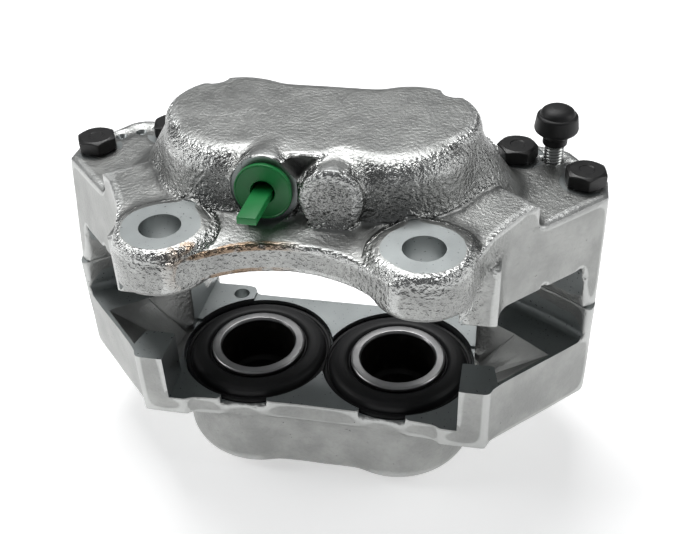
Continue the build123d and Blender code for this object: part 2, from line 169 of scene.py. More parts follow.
def to_object(name, bm, materials=(), scale=1.0):
    """New object from a bmesh, linked to the scene."""
    bmesh.ops.recalc_face_normals(bm, faces=bm.faces)
    mesh = bpy.data.meshes.new(name)
    bm.to_mesh(mesh)
    bm.free()
    mesh.transform(Matrix.Scale(scale, 4))
    for material in materials:
        mesh.materials.append(material)
    made = bpy.data.objects.new(name, mesh)
    bpy.context.scene.collection.objects.link(made)
    return made


def bake_down(obj):
    """Apply every modifier, leaving a plain mesh."""
    seen = obj.evaluated_get(bpy.context.evaluated_depsgraph_get())
    mesh = bpy.data.meshes.new_from_object(seen)
    mesh.name = obj.name
    obj.modifiers.clear()
    obj.data = mesh
    return obj


def merged_copy(node):
    """A CAD node's surface as one closed mesh, in millimetres."""
    bm = bmesh.new()
    bm.from_mesh(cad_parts[node].data)
    bmesh.ops.remove_doubles(bm, verts=bm.verts, dist=1e-6)
    bmesh.ops.scale(bm, vec=(1 / MM,) * 3, verts=bm.verts)
    bm.normal_update()
    return bm


def add_stock(bm, faces_of, axis, value, outward, reach):
    """Machining stock on every face that lies at one level, as closed slabs."""
    near = 0.03
    picked = [f for f in faces_of.faces if f.normal[axis] * outward > 0.99
              and all(abs(v.co[axis] - value) < near for v in f.verts)]
    layer = bmesh.new()
    copies = {}
    for face in picked:
        for v in face.verts:
            if v.index not in copies:
                copies[v.index] = layer.verts.new(v.co)
        layer.faces.new([copies[v.index] for v in face.verts])
    shift = Vector((0, 0, 0))
    shift[axis] = -0.6 * outward
    bmesh.ops.translate(layer, vec=shift, verts=layer.verts)
    grown = bmesh.ops.extrude_face_region(layer, geom=layer.faces[:])["geom"]
    shift[axis] = (0.6 + reach) * outward
    bmesh.ops.translate(layer, vec=shift, verts=[g for g in grown if isinstance(g, bmesh.types.BMVert)])
    slab = bpy.data.meshes.new("stock")
    layer.to_mesh(slab)
    layer.free()
    bm.from_mesh(slab)
    bpy.data.meshes.remove(slab)


class Link:
    """A node tree, or one output socket in it. Sums on a socket add Math nodes."""

    def __init__(self, tree, socket=None):
        self.tree = tree
        self.socket = socket

    def node(self, kind, settings=None, inputs=None, output=0):
        made = self.tree.nodes.new(kind)
        for name, value in (settings or {}).items():
            setattr(made, name, value)
        for name, value in (inputs or {}).items():
            if isinstance(value, Link):
                self.tree.links.new(value.socket, made.inputs[name])
            else:
                made.inputs[name].default_value = value
        return Link(self.tree, made.outputs[output])

    def sum(self, operation, a, b):
        return self.node("ShaderNodeMath", {"operation": operation}, {0: a, 1: b})

    def __add__(self, other):
        return self.sum("ADD", self, other)

    def __radd__(self, other):
        return self.sum("ADD", other, self)

    def __sub__(self, other):
        return self.sum("SUBTRACT", self, other)

    def __rsub__(self, other):
        return self.sum("SUBTRACT", other, self)

    def __mul__(self, other):
        return self.sum("MULTIPLY", self, other)

    def __rmul__(self, other):
        return self.sum("MULTIPLY", other, self)

    def noise(self, coords, size, detail=2.0, rough=0.5):
        """Noise from 0 to 1 with lumps of about the given size, in the units of the coordinates."""
        inputs = {"Vector": coords, "Scale": 1 / size, "Detail": detail, "Roughness": rough}
        return self.node("ShaderNodeTexNoise", {}, inputs)

    def step(self, value, low, high):
        """0 below low, 1 above high, smooth between."""
        inputs = {"Value": value, "From Min": low, "From Max": high}
        return self.node("ShaderNodeMapRange", {"interpolation_type": "SMOOTHSTEP"}, inputs)

    def blend(self, factor, a, b):
        """Colour a where the factor is 0, b where it is 1."""
        first, second = ((*c, 1.0) if isinstance(c, tuple) else c for c in (a, b))
        return self.node("ShaderNodeMix", {"data_type": "RGBA"}, {0: factor, 6: first, 7: second}, 2)


def new_finish(name, constants):
    """A material with its Principled shader's fixed values. Returns it, a tree to build in and the shader."""
    material = bpy.data.materials.new(name)
    material.use_nodes = True
    tree = material.node_tree
    shader = tree.nodes["Principled BSDF"]
    for socket, value in constants.items():
        shader.inputs[socket].default_value = value
    return material, Link(tree), shader


def connect(build, shader, wires):
    """Link worked-out values to the shader's sockets."""
    for socket, value in wires.items():
        build.tree.links.new(value.socket, shader.inputs[socket])


def cast_finish():
    """Zinc plate over a sand-cast skin: bright, pebbled, browner along its edges, with fine pits. Its convex
    edges are paler as a painted highlight, and the hollows of the pebble grain are darker as painted shade.
    """
    material, build, shader = new_finish("zinc_cast", {"Metallic": 1.0})
    at = build.node("ShaderNodeTexCoord", output="Object")
    rim = build.node("ShaderNodeAttribute", {"attribute_name": "rim"}, output="Fac")
    skin = build.node("ShaderNodeAttribute", {"attribute_name": "grain"}, output="Fac")
    pebbles = build.noise(at, 0.0014, 1.0, 0.5)
    crumbs = build.noise(at, 0.0005, 2.0, 0.6)
    cloud = build.noise(at, 0.016, 4.0, 0.6)
    patch = build.step(build.noise(at, 0.008, 1.0), 0.5, 0.68)
    pits = (1 - build.step(build.noise(at, 0.0011, 2.0), 0.25, 0.3)) * patch
    tone = build.blend(build.step(cloud, 0.3, 0.72), DULL_ZINC, PLATED_ZINC)
    # Painted shade: the low points of the pebble grain are darkened.
    tone = build.blend(build.step(pebbles, 0.48, 0.32) * skin * 0.25, tone, GRAIN_SHADE_ZINC)
    away = build.node("ShaderNodeVectorMath", {"operation": "DISTANCE"}, {0: at, 1: STAIN_SPOT}, "Value")
    stain = build.step(rim, 0.78, 1.0) * (1 - build.step(away, 0.012, 0.026))
    # Painted highlight: the convex edges are blended towards a pale zinc.
    tone = build.blend(build.step(rim, 0.75, 1.0) * (1 - stain) * 0.6, tone, EDGE_HIGHLIGHT_ZINC)
    tone = build.blend(stain * build.step(build.noise(at, 0.006, 2.0), 0.3, 0.5) * 0.8, tone, PASSIVATE)
    tone = build.blend(pits, tone, (0.05, 0.05, 0.05))
    height = pebbles * (0.08 + 0.85 * skin) + crumbs * (0.08 + 0.16 * skin) - pits * 0.5
    bump = build.node("ShaderNodeBump", {}, {"Strength": 1.0, "Distance": 0.0009, "Height": height}, "Normal")
    rough = 0.20 + 0.10 * build.noise(at, 0.004, 3.0) + 0.16 * (1 - skin)
    connect(build, shader, {"Base Color": tone, "Roughness": rough, "Normal": bump})
    return material


def machined_finish():
    """Milled and turned iron under thin zinc: smoother, greyer, with faint tool marks."""
    material, build, shader = new_finish("zinc_machined", {"Metallic": 1.0})
    at = build.node("ShaderNodeTexCoord", output="Object")
    marks = build.noise(at, 0.0004, 2.0)
    cloud = build.noise(at, 0.012, 4.0)
    tone = build.blend(cloud, CUT_IRON, CUT_BRIGHT)
    tone = build.blend(build.step(build.noise(at, 0.0011, 2.0), 0.33, 0.28), tone, (0.1, 0.1, 0.1))
    bump = build.node("ShaderNodeBump", {}, {"Strength": 0.5, "Distance": 0.00005, "Height": marks}, "Normal")
    rough = 0.33 + 0.16 * cloud
    connect(build, shader, {"Base Color": tone, "Roughness": rough, "Normal": bump})
    return material


def skin_tree():
    """Geometry Nodes: break the edges, pour fillets into the corners and grain the skin."""
    tree = bpy.data.node_groups.new("cast_skin", "GeometryNodeTree")
    wanted = (("Edge steps", "NodeSocketInt"), ("Lug steps", "NodeSocketInt"),
              ("Fillet steps", "NodeSocketInt"), ("Grain size", "NodeSocketFloat"),
              ("Grain depth", "NodeSocketFloat"), ("Finish", "NodeSocketMaterial"))
    tree.interface.new_socket("Geometry", in_out="INPUT", socket_type="NodeSocketGeometry")
    ids = {name: tree.interface.new_socket(name, in_out="INPUT", socket_type=kind).identifier
           for name, kind in wanted}
    tree.interface.new_socket("Geometry", in_out="OUTPUT", socket_type="NodeSocketGeometry")
    build = Link(tree)
    entry = tree.nodes.new("NodeGroupInput")
    given = {s.name: Link(tree, s) for s in entry.outputs}

    def vector_sum(operation, a, b, output=0):
        return build.node("ShaderNodeVectorMath", {"operation": operation}, {0: a, 1: b}, output)

    def along_normal(distance):
        """The surface normal, scaled by a distance."""
        spread = build.node("ShaderNodeCombineXYZ", {}, {"X": distance, "Y": distance, "Z": distance})
        return vector_sum("MULTIPLY", normal, spread)

    def averaged(steps):
        """Each point's place averaged with its neighbours', a given number of times."""
        inputs = {"Value": here, "Iterations": given[steps]}
        return build.node("GeometryNodeBlurAttribute", {"data_type": "FLOAT_VECTOR"}, inputs)

    def store(geometry, name, value):
        inputs = {"Geometry": geometry, "Name": name, "Value": value}
        return build.node("GeometryNodeStoreNamedAttribute", {}, inputs)

    def larger(a, b):
        return build.node("ShaderNodeMath", {"operation": "MAXIMUM"}, {0: a, 1: b})

    here = build.node("GeometryNodeInputPosition")
    normal = build.node("GeometryNodeInputNormal")
    split = build.node("ShaderNodeSeparateXYZ", {}, {0: here}).socket.node.outputs
    across, along, height = (Link(tree, split[axis]) for axis in "XYZ")
    away = build.node("ShaderNodeMath", {"operation": "ABSOLUTE"}, {0: across})
    lug = build.node("ShaderNodeCombineXYZ", {}, {"X": away - LUG_X, "Y": along})
    lug = build.node("ShaderNodeVectorMath", {"operation": "LENGTH"}, {0: lug}, "Value")
    round_rim = build.step(height, -8.0, -4.0) * (1 - build.step(lug, 17.6, 19.0))
    eased = build.node("ShaderNodeMix", {"data_type": "VECTOR"},
                       {0: round_rim, 4: averaged("Edge steps"), 5: averaged("Lug steps")}, 1)
    body = build.node("GeometryNodeSetPosition", {}, {"Geometry": given["Geometry"], "Position": eased})
    hollow = vector_sum("SUBTRACT", averaged("Fillet steps"), here)
    lift = vector_sum("DOT_PRODUCT", hollow, normal, "Value")
    body = store(body, "rim", build.step(lift * -1.0, 0.05, 0.7))
    facing = build.node("ShaderNodeSeparateXYZ", {}, {0: normal}, "Z")
    smooth = larger(build.step(facing, 0.85, 0.97), build.step(away, 60.0, 72.0))
    grain = (1 - 0.9 * smooth) * (0.3 + 0.7 * build.step(height, -64.0, -50.0))
    body = store(body, "grain", grain)
    fillet = along_normal(larger(lift, 0.0))
    body = build.node("GeometryNodeSetPosition", {}, {"Geometry": body, "Offset": fillet})
    shrink = {0: here, "Scale": given["Grain size"]}
    lumps = build.noise(build.node("ShaderNodeVectorMath", {"operation": "SCALE"}, shrink), 1.0) - 0.5
    wave = build.noise(here, 20.0, 1.0) - 0.5
    rise = along_normal(lumps * given["Grain depth"] * grain + wave * 0.5)
    body = build.node("GeometryNodeSetPosition", {}, {"Geometry": body, "Offset": rise})
    body = build.node("GeometryNodeRealizeInstances", {}, {"Geometry": body})
    body = build.node("GeometryNodeSetMaterial", {}, {"Geometry": body, "Material": given["Finish"]})
    leave = tree.nodes.new("NodeGroupOutput")
    tree.links.new(body.socket, leave.inputs[0])
    return tree, ids


def keep_largest(obj):
    """Delete closed voids and crumbs, leaving the one outer skin."""
    bm = bmesh.new()
    bm.from_mesh(obj.data)
    bm.verts.ensure_lookup_table()
    todo = set(bm.verts)
    islands = []
    while todo:
        front = [todo.pop()]
        island = list(front)
        while front:
            v = front.pop()
            for edge in v.link_edges:
                other = edge.other_vert(v)
                if other in todo:
                    todo.remove(other)
                    front.append(other)
                    island.append(other)
        islands.append(island)
    islands.sort(key=len)
    for island in islands[:-1]:
        bmesh.ops.delete(bm, geom=island, context="VERTS")
    bm.to_mesh(obj.data)
    bm.free()


BORES = [middle(f"piston_outboard_{name}").xy for name in ("left", "right")]
BOLT_SEATS = [f"bridge_bolt_{row}_{name}" for row in ("front", "rear") for name in ("left", "right")]
PIN_PLACES = [(side * 46.1, 75.9) for side in (-1, 1)]
CAST = cast_finish()
MACHINED = machined_finish()
SKIN, SKIN_IDS = skin_tree()


def blank_for(half, facing):
    """The raw casting: the CAD solid with its holes filled and stock on the faces to be machined."""
    solid = merged_copy(f"{half}_housing")
    solid.verts.index_update()
    bm = solid.copy()
    ledge = level(facing, LEDGE)
    deep = level(facing, BORE_END + 0.4)
    for x, y in BORES:
        add_rod(bm, (x, y, ledge), (x, y, deep), 24.6)
        add_rod(bm, (x, y, ledge - facing * STOCK), (x, y, ledge + facing * 6), 30.2)
    for x, y in PIN_PLACES:
        add_rod(bm, (x, y, level(facing, TAB)), (x, y, level(facing, 45)), PIN_SEAT_R)
    out = -facing
    joint_reach = abs(level(facing, SHOULDER) - JOINT_Z) + STOCK
    add_stock(bm, solid, 2, ledge, out, STOCK)
    add_stock(bm, solid, 2, level(facing, TAB), out, STOCK)
    add_stock(bm, solid, 2, level(facing, SHOULDER), out, joint_reach)
    add_stock(bm, solid, 2, JOINT_Z, out, STOCK)
    for side in (-1, 1):
        add_stock(bm, solid, 0, side * PAD_HALF, -side, STOCK)
    for node in BOLT_SEATS:
        spot = middle(node)
        end = PLATE_Z - 0.3 if facing > 0 else -92.5
        add_rod(bm, (spot.x, spot.y, JOINT_Z), (spot.x, spot.y, end), 5.4)
    if facing > 0:
        for side in (-1, 1):
            add_rod(bm, (side * LUG_X, 0, -19.6), (side * LUG_X, 0, 0.7), LUG_SPOT_R + 0.2)
        add_rod(bm, PORT - PORT_AXIS * 14, PORT + PORT_AXIS * STOCK, PORT_SEAT_R + 0.5)
    solid.free()
    return to_object(f"{half}_casting", bm, [CAST, MACHINED])


def cutters_for(half, facing):
    """The shapes that the mill, the lathe and the drills take out of a casting."""
    tools = []

    def tool(shape, *sizes, finish=1, **more):
        bm = bmesh.new()
        shape(bm, *sizes, **more)
        for face in bm.faces:
            face.material_index = finish
        tools.append(to_object("tool", bm, [CAST, MACHINED]))

    ledge, tab = level(facing, LEDGE), level(facing, TAB)
    over = level(facing, -14)
    far = JOINT_Z - facing * 25
    tool(add_slab, [(-120, -60), (120, -60), (120, 120), (-120, 120)], JOINT_Z, far)
    tool(add_disc, level(facing, SHOULDER), over)
    relief = [(PAD_HALF, -30), (PAD_HALF, 24.5), (SIDE_RELIEF, 26.5)]
    half_window = relief + [(SIDE_RELIEF, OVERSHOOT)]
    tool(add_slab, half_window + [(-x, y) for x, y in half_window[::-1]], tab, over)
    half_ledge = relief + [(SIDE_RELIEF, 56), (39.8, 56), (39.8, OVERSHOOT)]
    tool(add_slab, half_ledge + [(-x, y) for x, y in half_ledge[::-1]], ledge, over)
    rim = [(56.0, 23.7), (69.2, 23.7), *POCKET_ENDS[half], (76.0, 43.8), (56.0, 56.0)]
    foot = [(56.0, 23.7), (60.0, 23.7), (61.0, 24.6), (64.0, 38.5), (62.6, 47.0), (56.0, 56.0)]
    for side in (-1, 1):
        outlines = [[(side * x, y) for x, y in outline] for outline in (foot, rim)]
        tool(add_loft, *outlines, ledge, level(facing, SHOULDER - 0.3), finish=0)
    for x, y in BORES:
        tool(add_rod, (x, y, ledge + facing * RECESS_DEEP), (x, y, over), RECESS_R, segments=160)
        tool(add_rod, (x, y, level(facing, BORE_END)), (x, y, over), PISTON_BORE_R, segments=128)
    for x, y in PIN_PLACES:
        tool(add_rod, (x, y, over), (x, y, 30 if facing > 0 else -110), PIN_R, segments=48)
        if facing > 0:
            tool(add_rod, (x, y, -4), (x, y, 30), PIN_SEAT_R, segments=64)
    if facing < 0:
        for side in (-1, 1):
            a, b = sorted((side * 18.6, side * 37.0))
            tool(add_slab, [(a, 2), (b, 2), (b, 16), (a, 16)], ledge - 2.4, over)
        return tools
    for side in (-1, 1):
        tool(add_rod, (side * LUG_X, 0, -30), (side * LUG_X, 0, 10), LUG_HOLE_R)
        tool(add_rod, (side * LUG_X, 0, 0), (side * LUG_X, 0, 10), LUG_SPOT_R)
        tool(add_rod, (side * 91.2, 78.8, PLATE_Z - DIMPLE_DEEP), (side * 91.2, 78.8, PLATE_Z + 3), 1.2, 5.0)
    for node in BOLT_SEATS:
        spot = middle(node)
        seat, radius = (PLATE_Z, 9.6) if "front" in node else (PLATE_Z - 0.7, 10.8)
        tool(add_rod, (spot.x, spot.y, seat), (spot.x, spot.y, 25), radius)
    bleed = middle("bleed_screw")
    tool(add_rod, (bleed.x, bleed.y, -28), (bleed.x, bleed.y, 0), 3.8)
    tool(add_rod, (-bleed.x, bleed.y, PLATE_Z - DIMPLE_DEEP), (-bleed.x, bleed.y, PLATE_Z + 3), 1.2, 5.2)
    tool(add_core, [(-6.6, 17.4), (5.8, 17.4), (-0.7, 11.2)], 10, 25.5, finish=0)
    tool(add_rod, PORT, PORT + PORT_AXIS * 8, PORT_SEAT_R, segments=128)
    tool(add_rod, PORT - PORT_AXIS * 13, PORT + PORT_AXIS, PORT_R)
    return tools


def cast_half(half, facing):
    """One finished half: remeshed, given its skin and machined."""
    body = blank_for(half, facing)
    remesh = body.modifiers.new("remesh", "REMESH")
    remesh.mode = "VOXEL"
    remesh.voxel_size = VOXEL
    bake_down(body)
    keep_largest(body)
    skin = body.modifiers.new("skin", "NODES")
    skin.node_group = SKIN
    values = {"Edge steps": 2, "Lug steps": 40, "Fillet steps": 34, "Grain size": 0.5,
              "Grain depth": 0.22, "Finish": CAST}
    for name, value in values.items():
        skin[SKIN_IDS[name]] = value
    bake_down(body)
    body.data.materials.append(MACHINED)
    tools = cutters_for(half, facing)
    for number, cutter in enumerate(tools):
        cut = body.modifiers.new(f"cut_{number}", "BOOLEAN")
        cut.operation = "DIFFERENCE"
        cut.solver = "MANIFOLD"
        cut.object = cutter
    bake_down(body)
    for cutter in tools:
        bpy.data.objects.remove(cutter)
    body.data.transform(Matrix.Scale(MM, 4))
    mark_edges(body, 30)
    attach(body, "caliper_body")
    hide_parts(f"{half}_housing")


def mark_edges(obj, degrees):
    """Smooth shading with crisp edges at corners and where the finish changes."""
    bm = bmesh.new()
    bm.from_mesh(obj.data)
    limit = math.radians(degrees)
    for face in bm.faces:
        face.smooth = True
    for edge in bm.edges:
        if len(edge.link_faces) == 2:
            a, b = edge.link_faces
            edge.smooth = a.material_index == b.material_index and edge.calc_face_angle(0) < limit
    bm.to_mesh(obj.data)
    bm.free()


for half, facing in HALVES.items():
    cast_half(half, facing)

# ---- Cup pistons and their seals ----------------------------------------------------------------
# Four hard-plated steel cups slide in the bores, open ends towards the disc. Each runs in a square
# rubber seal in its bore. The nose ring is ground bright; the inside of the cup is painted shade, near black.
RING_STEEL = (0.36, 0.36, 0.365)
# Painted shade for the cup's deep hollow: its inside is coloured near black.
CUP_SHADE_BLACK = (0.012, 0.011, 0.010)
CUP_R = 15.2
NOSE_R = 19.4
PISTON_R = 20.64
SEAL_RUBBER = (0.012, 0.012, 0.012)


def softened(points, radius, steps=4):
    """The outline with each inner corner replaced by a short arc of about the given radius."""
    smooth = [points[0]]
    for before, corner, after in zip(points, points[1:], points[2:]):
        here = Vector(corner)
        back, ahead = Vector(before) - here, Vector(after) - here
        reach = min(radius, 0.45 * back.length, 0.45 * ahead.length)
        start, end = here + back.normalized() * reach, here + ahead.normalized() * reach
        for i in range(steps + 1):
            t = i / steps
            smooth.append(tuple(start * (1 - t) ** 2 + here * 2 * t * (1 - t) + end * t * t))
    return smooth + [points[-1]]


def turned(name, profile, centre, facing, materials, dark=None, segments=128):
    """Solid turned about an upright axis from a closed outline of (radius, depth) points."""
    bm = bmesh.new()
    x, y, z = centre
    rings = []
    for r, depth in profile:
        height = z - facing * depth
        if r < 1e-6:
            rings.append([bm.verts.new((x, y, height))] * segments)
            continue
        angles = (2 * math.pi * i / segments for i in range(segments))
        rings.append([bm.verts.new((x + r * math.cos(a), y + r * math.sin(a), height)) for a in angles])
    pairs = list(zip(rings, rings[1:] + rings[:1]))
    for number, (low, high) in enumerate(pairs):
        for i in range(segments):
            j = (i + 1) % segments
            corners = list(dict.fromkeys((low[i], low[j], high[j], high[i])))
            if len(corners) > 2:
                face = bm.faces.new(corners)
                face.material_index = int(dark is not None and dark[0] <= number < dark[1])
    made = to_object(name, bm, materials, MM)
    mark_edges(made, 35)
    return made


def ring_finish():
    """Ground and plated steel: bright, with fine circular scratches softened by handling."""
    material, build, shader = new_finish("ground_steel", {"Metallic": 1.0})
    at = build.node("ShaderNodeTexCoord", output="Object")
    smear = build.noise(at, 0.006, 3.0)
    fine = build.noise(at, 0.0005, 2.0)
    tone = build.blend(smear, RING_STEEL, (0.50, 0.495, 0.49))
    bump = build.node("ShaderNodeBump", {}, {"Strength": 0.3, "Distance": 0.00002, "Height": fine}, "Normal")
    connect(build, shader, {"Base Color": tone, "Roughness": 0.24 + 0.14 * smear, "Normal": bump})
    return material


def painted_cup_shade():
    """Painted shade for the inside of a cup: near black, a little lighter in random patches."""
    material, build, shader = new_finish("cup_black", {"Metallic": 0.0, "Specular IOR Level": 0.35})
    at = build.node("ShaderNodeTexCoord", output="Object")
    shade_mottle = build.step(build.noise(at, 0.005, 4.0), 0.5, 0.8)
    tone = build.blend(shade_mottle, CUP_SHADE_BLACK, (0.035, 0.032, 0.03))
    connect(build, shader, {"Base Color": tone, "Roughness": 0.42 - 0.1 * shade_mottle})
    return material


def rubber_finish(name, colour, gloss):
    """Moulded black rubber: dull, with a soft sheen and a dusting of mould bloom."""
    material, build, shader = new_finish(name, {"Metallic": 0.0, "Specular IOR Level": 0.36})
    at = build.node("ShaderNodeTexCoord", output="Object")
    bloom = build.noise(at, 0.004, 4.0, 0.6)
    tone = build.blend(bloom, colour, tuple(2.2 * c for c in colour))
    bump = build.node("ShaderNodeBump", {}, {"Strength": 0.4, "Distance": 0.00006,
                                             "Height": build.noise(at, 0.0007, 3.0)}, "Normal")
    connect(build, shader, {"Base Color": tone, "Roughness": gloss + 0.16 * bloom, "Normal": bump})
    return material


def refinish(node, material):
    """A better finish on a CAD node, whose shape stays as it is."""
    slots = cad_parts[node].data.materials
    slots.clear()
    slots.append(material)


GROUND = ring_finish()
CUP_INSIDE_SHADE = painted_cup_shade()
SEAL = rubber_finish("seal_rubber", SEAL_RUBBER, 0.5)
cup_outline = softened([(0, 22.5), (13.6, 22.5), (CUP_R, 20.6), (CUP_R, 1.0), (CUP_R + 0.6, 0.1),
                        (CUP_R + 0.8, 0.0), (NOSE_R - 0.6, 0.0), (NOSE_R, 0.6), (NOSE_R, 2.0),
                        (18.4, 2.6), (18.4, 5.0), (NOSE_R, 5.6), (NOSE_R, 6.4), (PISTON_R, 7.4),
                        (PISTON_R, 27.0), (19.6, 28.0), (0, 28.0)], 0.35)
inside = next(i for i, (r, depth) in enumerate(cup_outline) if depth < 1.4 and r > CUP_R - 0.1)
for half, facing in HALVES.items():
    for name in ("left", "right"):
        node = f"piston_{half}_{name}"
        x, y = middle(node).xy
        # The inside faces of each cup get the near-black painted-shade finish.
        piston = turned(f"cup_{half}_{name}", cup_outline, (x, y, level(facing, NOSE)), -facing,
                        [GROUND, CUP_INSIDE_SHADE], dark=(0, inside))
        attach(piston, node)
        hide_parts(node)
        refinish(f"piston_seal_{half}_{name}", SEAL)

# ---- Dust boots ---------------------------------------------------------------------------------
# A moulded rubber boot closes each bore: its flange is pressed into the recess, a round fold rises
# from it, and its bead sits in the piston's groove. Neighbouring flanges press flat on each other.
BOOT_BLACK = (0.0075, 0.0075, 0.008)
BOOT = rubber_finish("boot_rubber", BOOT_BLACK, 0.46)
boot_outline = softened([(30.9, 7.0), (30.9, 5.0), (30.4, 4.5), (29.3, 4.5), (29.0, 5.1), (28.5, 5.1),
                         (28.2, 3.8), (27.6, 2.3), (26.2, 1.3), (24.2, 0.8), (22.4, 0.7), (21.3, 1.0),
                         (20.6, 1.9), (20.3, 2.3), (19.9, 2.2), (19.6, 2.4), (19.5, 2.7), (18.6, 3.0),
                         (18.6, 4.6), (20.6, 4.3), (22.4, 3.4), (24.8, 3.0), (26.0, 4.2), (25.6, 5.2),
                         (22.8, 5.9), (22.8, 7.0), (30.9, 7.0)], 0.5)[:-1]
MIDDLE_GAP = 0.00015
for half, facing in HALVES.items():
    for name, side in (("left", -1), ("right", 1)):
        body = f"piston_{half}_{name}"
        x, y = middle(body).xy
        nose = level(facing, NOSE)
        boot = turned(f"boot_{half}_{name}", boot_outline, (x, y, nose), -facing, [BOOT])
        for v in boot.data.vertices:
            if side * v.co.x < MIDDLE_GAP:
                v.co.x = side * MIDDLE_GAP
        (nose + facing * 4.4) * MM
        (nose + facing * 1.6) * MM
        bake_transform(boot)
        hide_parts(f"dust_boot_{half}_{name}")

# ---- Bridge bolts and transfer seals ------------------------------------------------------------
# Four black-oxide hex bolts clamp the halves together from the inboard side. Small O-rings round
# the fluid ports in the joint face stay hidden between the halves.
OXIDE = (0.005, 0.005, 0.0055)
HEAD_HALF = 14.3 / 2
HEAD_H = 5.9
SHANK_R = 4.76
SHANK_LENGTH = 77.0
BOLT_TURNS = {"bridge_bolt_front_left": 27, "bridge_bolt_front_right": 8,
              "bridge_bolt_rear_left": 15, "bridge_bolt_rear_right": 31}


def bolt_mesh():
    """Hex head with turned chamfer and washer face, on a plain shank, seat at the origin."""
    bm = bmesh.new()
    segments = 96
    flat_r = HEAD_HALF * 0.93

    def hexagon(angle):
        wedge = (angle + math.pi / 6) % (math.pi / 3) - math.pi / 6
        return min(HEAD_HALF / math.cos(wedge), HEAD_HALF * 1.135)

    def ring(radius_of, height_of):
        made = []
        for i in range(segments):
            a = 2 * math.pi * i / segments
            r = radius_of(a)
            made.append(bm.verts.new((r * math.cos(a), r * math.sin(a), height_of(r))))
        return made

    def chamfer(r):
        return HEAD_H - 0.15 - (r - flat_r) * 0.5

    rings = [ring(lambda a: 2.6, lambda r: HEAD_H - 0.25), ring(lambda a: 3.0, lambda r: HEAD_H),
             ring(lambda a: flat_r - 0.4, lambda r: HEAD_H), ring(lambda a: flat_r, lambda r: HEAD_H - 0.15),
             ring(lambda a: hexagon(a) - 0.25, chamfer), ring(hexagon, lambda r: chamfer(r) - 0.2),
             ring(hexagon, lambda r: 0.9), ring(lambda a: hexagon(a) - 0.3, lambda r: 0.6),
             ring(lambda a: HEAD_HALF - 0.3, lambda r: 0.6), ring(lambda a: HEAD_HALF - 0.3, lambda r: 0.0),
             ring(lambda a: SHANK_R, lambda r: 0.0), ring(lambda a: SHANK_R, lambda r: -SHANK_LENGTH),
             ring(lambda a: 4.0, lambda r: -SHANK_LENGTH - 1)]
    bm.faces.new(rings[0])
    bm.faces.new(rings[-1][::-1])
    for low, high in zip(rings, rings[1:]):
        for i in range(segments):
            j = (i + 1) % segments
            bm.faces.new((low[i], low[j], high[j], high[i]))
    made = to_object("bolt_pattern", bm, (), MM)
    mark_edges(made, 20)
    return made


def oxide_finish():
    """Black oxide on forged steel: near black, oily sheen, greyer where handled."""
    material, build, shader = new_finish("black_oxide", {"Metallic": 0.0, "Specular IOR Level": 0.45})
    at = build.node("ShaderNodeTexCoord", output="Object")
    cloud = build.noise(at, 0.003, 4.0, 0.6)
    tone = build.blend(cloud, OXIDE, (0.014, 0.0135, 0.013))
    bump = build.node("ShaderNodeBump", {}, {"Strength": 0.5, "Distance": 0.00008,
                                             "Height": build.noise(at, 0.0009, 3.0)}, "Normal")
    connect(build, shader, {"Base Color": tone, "Roughness": 0.30 + 0.2 * cloud, "Normal": bump})
    return material


def bolt_tree():
    """Geometry Nodes: one bolt on every seat, turned by its own angle."""
    tree = bpy.data.node_groups.new("bolts_on_seats", "GeometryNodeTree")
    tree.interface.new_socket("Geometry", in_out="INPUT", socket_type="NodeSocketGeometry")
    kinds = {"Bolt": "NodeSocketObject", "Finish": "NodeSocketMaterial"}
    ids = {name: tree.interface.new_socket(name, in_out="INPUT", socket_type=kind).identifier
           for name, kind in kinds.items()}
    tree.interface.new_socket("Geometry", in_out="OUTPUT", socket_type="NodeSocketGeometry")
    build = Link(tree)
    entry = tree.nodes.new("NodeGroupInput")
    given = {s.name: Link(tree, s) for s in entry.outputs}
    bolt = build.node("GeometryNodeObjectInfo", {}, {"Object": given["Bolt"]}, "Geometry")
    turn = build.node("GeometryNodeInputNamedAttribute", {"data_type": "FLOAT"}, {"Name": "turn"})
    spin = build.node("ShaderNodeCombineXYZ", {}, {"Z": turn})
    put = build.node("GeometryNodeInstanceOnPoints", {}, {"Points": given["Geometry"], "Instance": bolt,
                                                          "Rotation": spin})
    put = build.node("GeometryNodeRealizeInstances", {}, {"Geometry": put})
    put = build.node("GeometryNodeSetMaterial", {}, {"Geometry": put, "Material": given["Finish"]})
    leave = tree.nodes.new("NodeGroupOutput")
    tree.links.new(put.socket, leave.inputs[0])
    return tree, ids


def seat_point(node):
    """Where a bolt's washer face meets its seat."""
    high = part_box(node)[1]
    return Vector((middle(node).x, middle(node).y, high.z / MM - HEAD_H)) * MM


seats = bmesh.new()
for node in BOLT_TURNS:
    seats.verts.new(seat_point(node))
bolts = to_object("bridge_bolts", seats)
turns = bolts.data.attributes.new("turn", "FLOAT", "POINT")
turns.data.foreach_set("value", [math.radians(a) for a in BOLT_TURNS.values()])
pattern = bolt_mesh()
tree, ids = bolt_tree()
placing = bolts.modifiers.new("placing", "NODES")
placing.node_group = tree
placing[ids["Bolt"]] = pattern
placing[ids["Finish"]] = oxide_finish()
bake_down(bolts)
bpy.data.objects.remove(pattern)
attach(bolts, "caliper_body")
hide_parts(*BOLT_TURNS)
for name in ("left", "right"):
    refinish(f"transfer_seal_{name}", SEAL)

# ---- Bleed screw and its cap --------------------------------------------------------------------
# A plated steel screw with a cone seat; its hose nipple is under a push-on rubber dust cap.
BLEED_STEEL = (0.55, 0.56, 0.55)
THREAD_R = 3.75
THREAD_PITCH = 1.25
THREAD_DEPTH = 0.42
SCREW_BORE_R = 0.9
SEAT_CONE = 2.4


